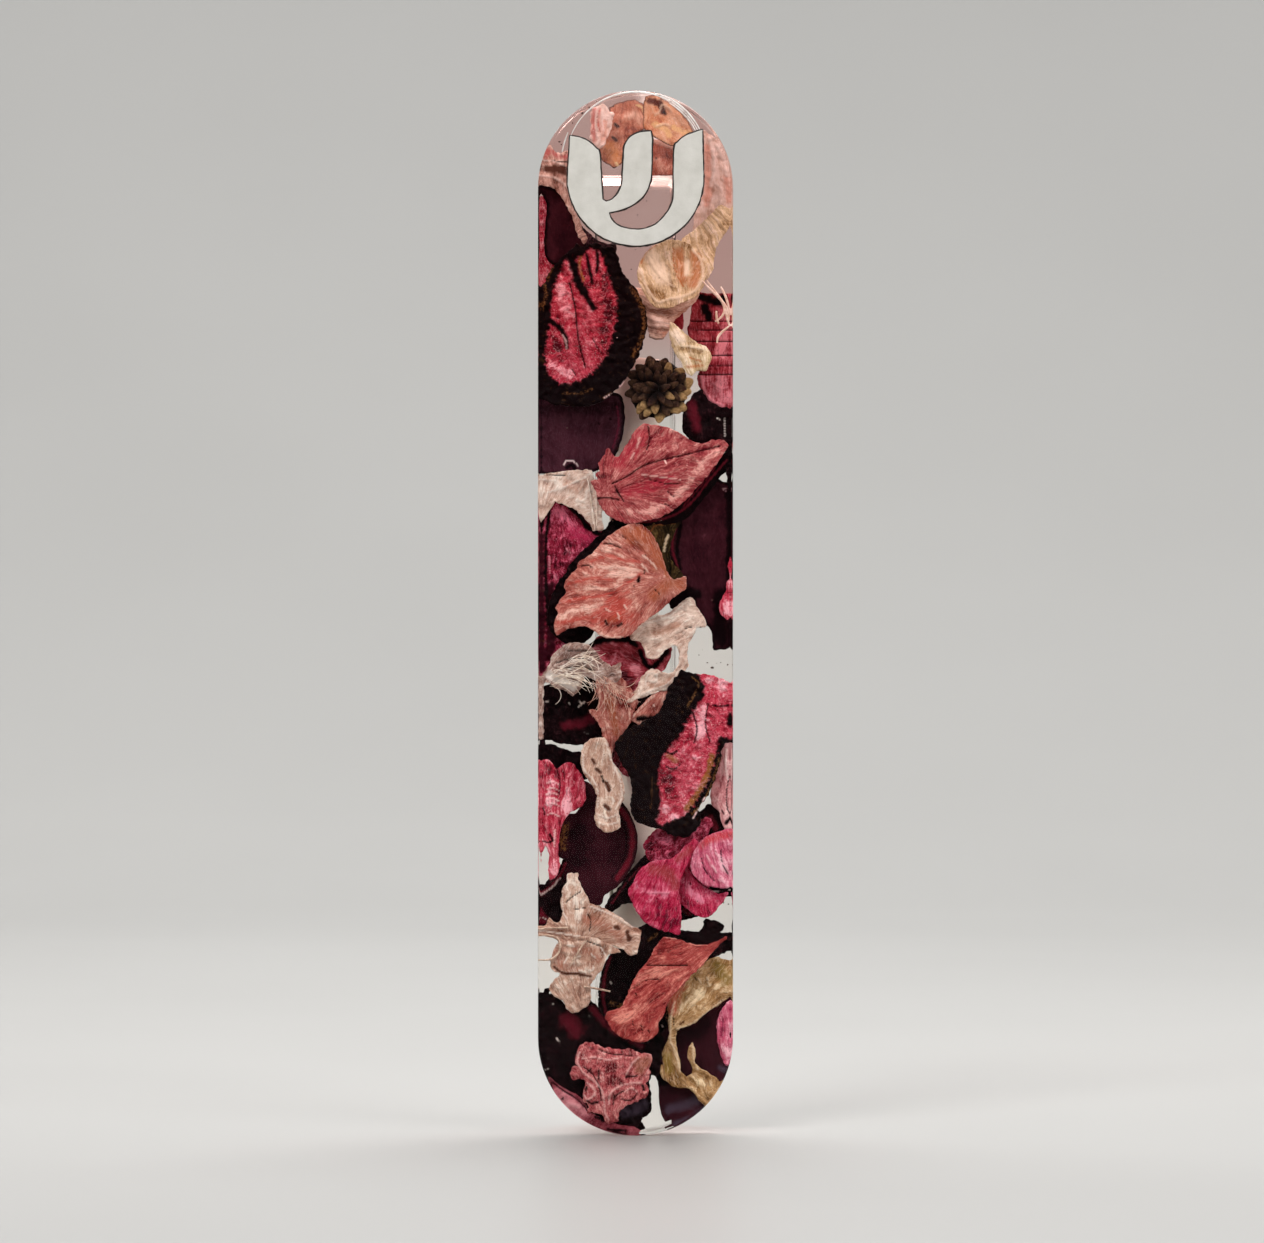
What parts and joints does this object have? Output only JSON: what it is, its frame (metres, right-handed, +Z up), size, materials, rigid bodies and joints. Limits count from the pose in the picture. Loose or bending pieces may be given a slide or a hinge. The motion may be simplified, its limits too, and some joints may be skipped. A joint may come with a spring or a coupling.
{
  "type": "mezuzah case",
  "caption": "Slim pill-shaped case of clear cast resin with dried petals inside, a white letter on the front and an open channel at the back for a rolled parchment.",
  "frame": {"origin": "on the back face, at the middle of the land between the top of the scroll channel and the top of the case", "axes": "+Z up along the length of the case, +Y out of the back face towards the doorpost, +X to the right seen from the front; the front faces -Y"},
  "size_m": [0.028, 0.0185, 0.15],
  "materials": {
    "clear_resin": "clear cast epoxy resin, polished, faintly warm",
    "clear_film": "clear self-adhesive film",
    "white_sheet": "satin white cut sheet with a thin dark cut edge",
    "parchment": "dry pale parchment",
    "black": "dried, nearly black",
    "maroon": "dried, smooth dark maroon",
    "plum": "dried, dark plum",
    "pink": "dried, crinkled rose pink with pale highlights",
    "magenta": "dried, deep magenta with fine veins",
    "red": "dried, dark red",
    "coral": "dried, coral red",
    "salmon": "dried, salmon with red veins",
    "rose": "dried, dusty rose red",
    "peach": "dried, pale peach, thin and translucent",
    "orange": "dried, burnt orange",
    "rust": "dried, rust brown",
    "tan": "dried, tan with a pale edge",
    "olive": "dried, dark olive brown",
    "beige": "dried, pinkish beige, thin",
    "cream": "dried, cream with fine ribs",
    "bark": "dark brown woody scales with tan tips"
  },
  "bodies": {
    "case": {"resin_face_layer": "clear_resin", "resin_front_petal_layer": "clear_resin", "resin_middle_petal_layer": "clear_resin", "resin_rear_petal_layer": "clear_resin", "resin_back_block": "clear_resin", "emblem_film": "clear_film", "emblem_letter_shin": "white_sheet", "orange_petal": "orange", "crinkled_petal_strip": "pink", "banded_petal": "beige", "pink_seed_pod_upper": "pink", "cream_rose_curl": "cream", "small_cream_petal": "cream", "cream_fibres": "cream", "pink_leaf_petal": "rose", "salmon_petal": "salmon", "pink_edge_petal": "pink", "feathery_tuft": "cream", "pink_seed_pod_lower": "pink", "beige_curled_strip": "beige", "beige_star_flower": "beige", "magenta_petal_large": "magenta", "pink_petal_right": "pink", "coral_petal": "coral", "beige_crumpled_petal": "beige", "pink_strip_lower_right": "pink", "dusty_rose_petal": "rose", "brown_orange_petal": "orange", "black_petal_upper_left": "black", "cream_fan_petal": "cream", "wrinkled_cream_cone": "cream", "black_petal_right": "black", "dark_crescent_petal": "black", "beige_petal_left": "beige", "olive_bract": "olive", "wood_shaving": "beige", "brown_pink_drape": "salmon", "pink_petal_left": "pink", "pale_pink_petal": "peach", "magenta_petal_small": "magenta", "magenta_petal_middle": "magenta", "tan_hooked_petal": "tan", "black_petal_bottom": "black", "rust_petal": "rust", "peach_petal": "peach", "pink_sliver_petal": "pink", "ribbed_red_petal": "red", "maroon_cup_upper": "maroon", "magenta_petal_left": "magenta", "maroon_petal_right": "maroon", "red_petal_centre": "red", "black_petal_left": "black", "maroon_cup_lower": "maroon", "maroon_petal_lower_left": "maroon", "black_petal_centre": "black", "maroon_petal_under_coral": "maroon", "plum_petal": "plum", "rose_rim_petal": "rose", "alder_cone": "bark"},
    "scroll": {"parchment_scroll": "parchment"}
  },
  "joints": [
    {"name": "scroll_lift_out", "type": "slide", "parent": "case", "child": "scroll", "axis": [0, 1, 0], "range_m": [0, 0.02]}
  ]
}
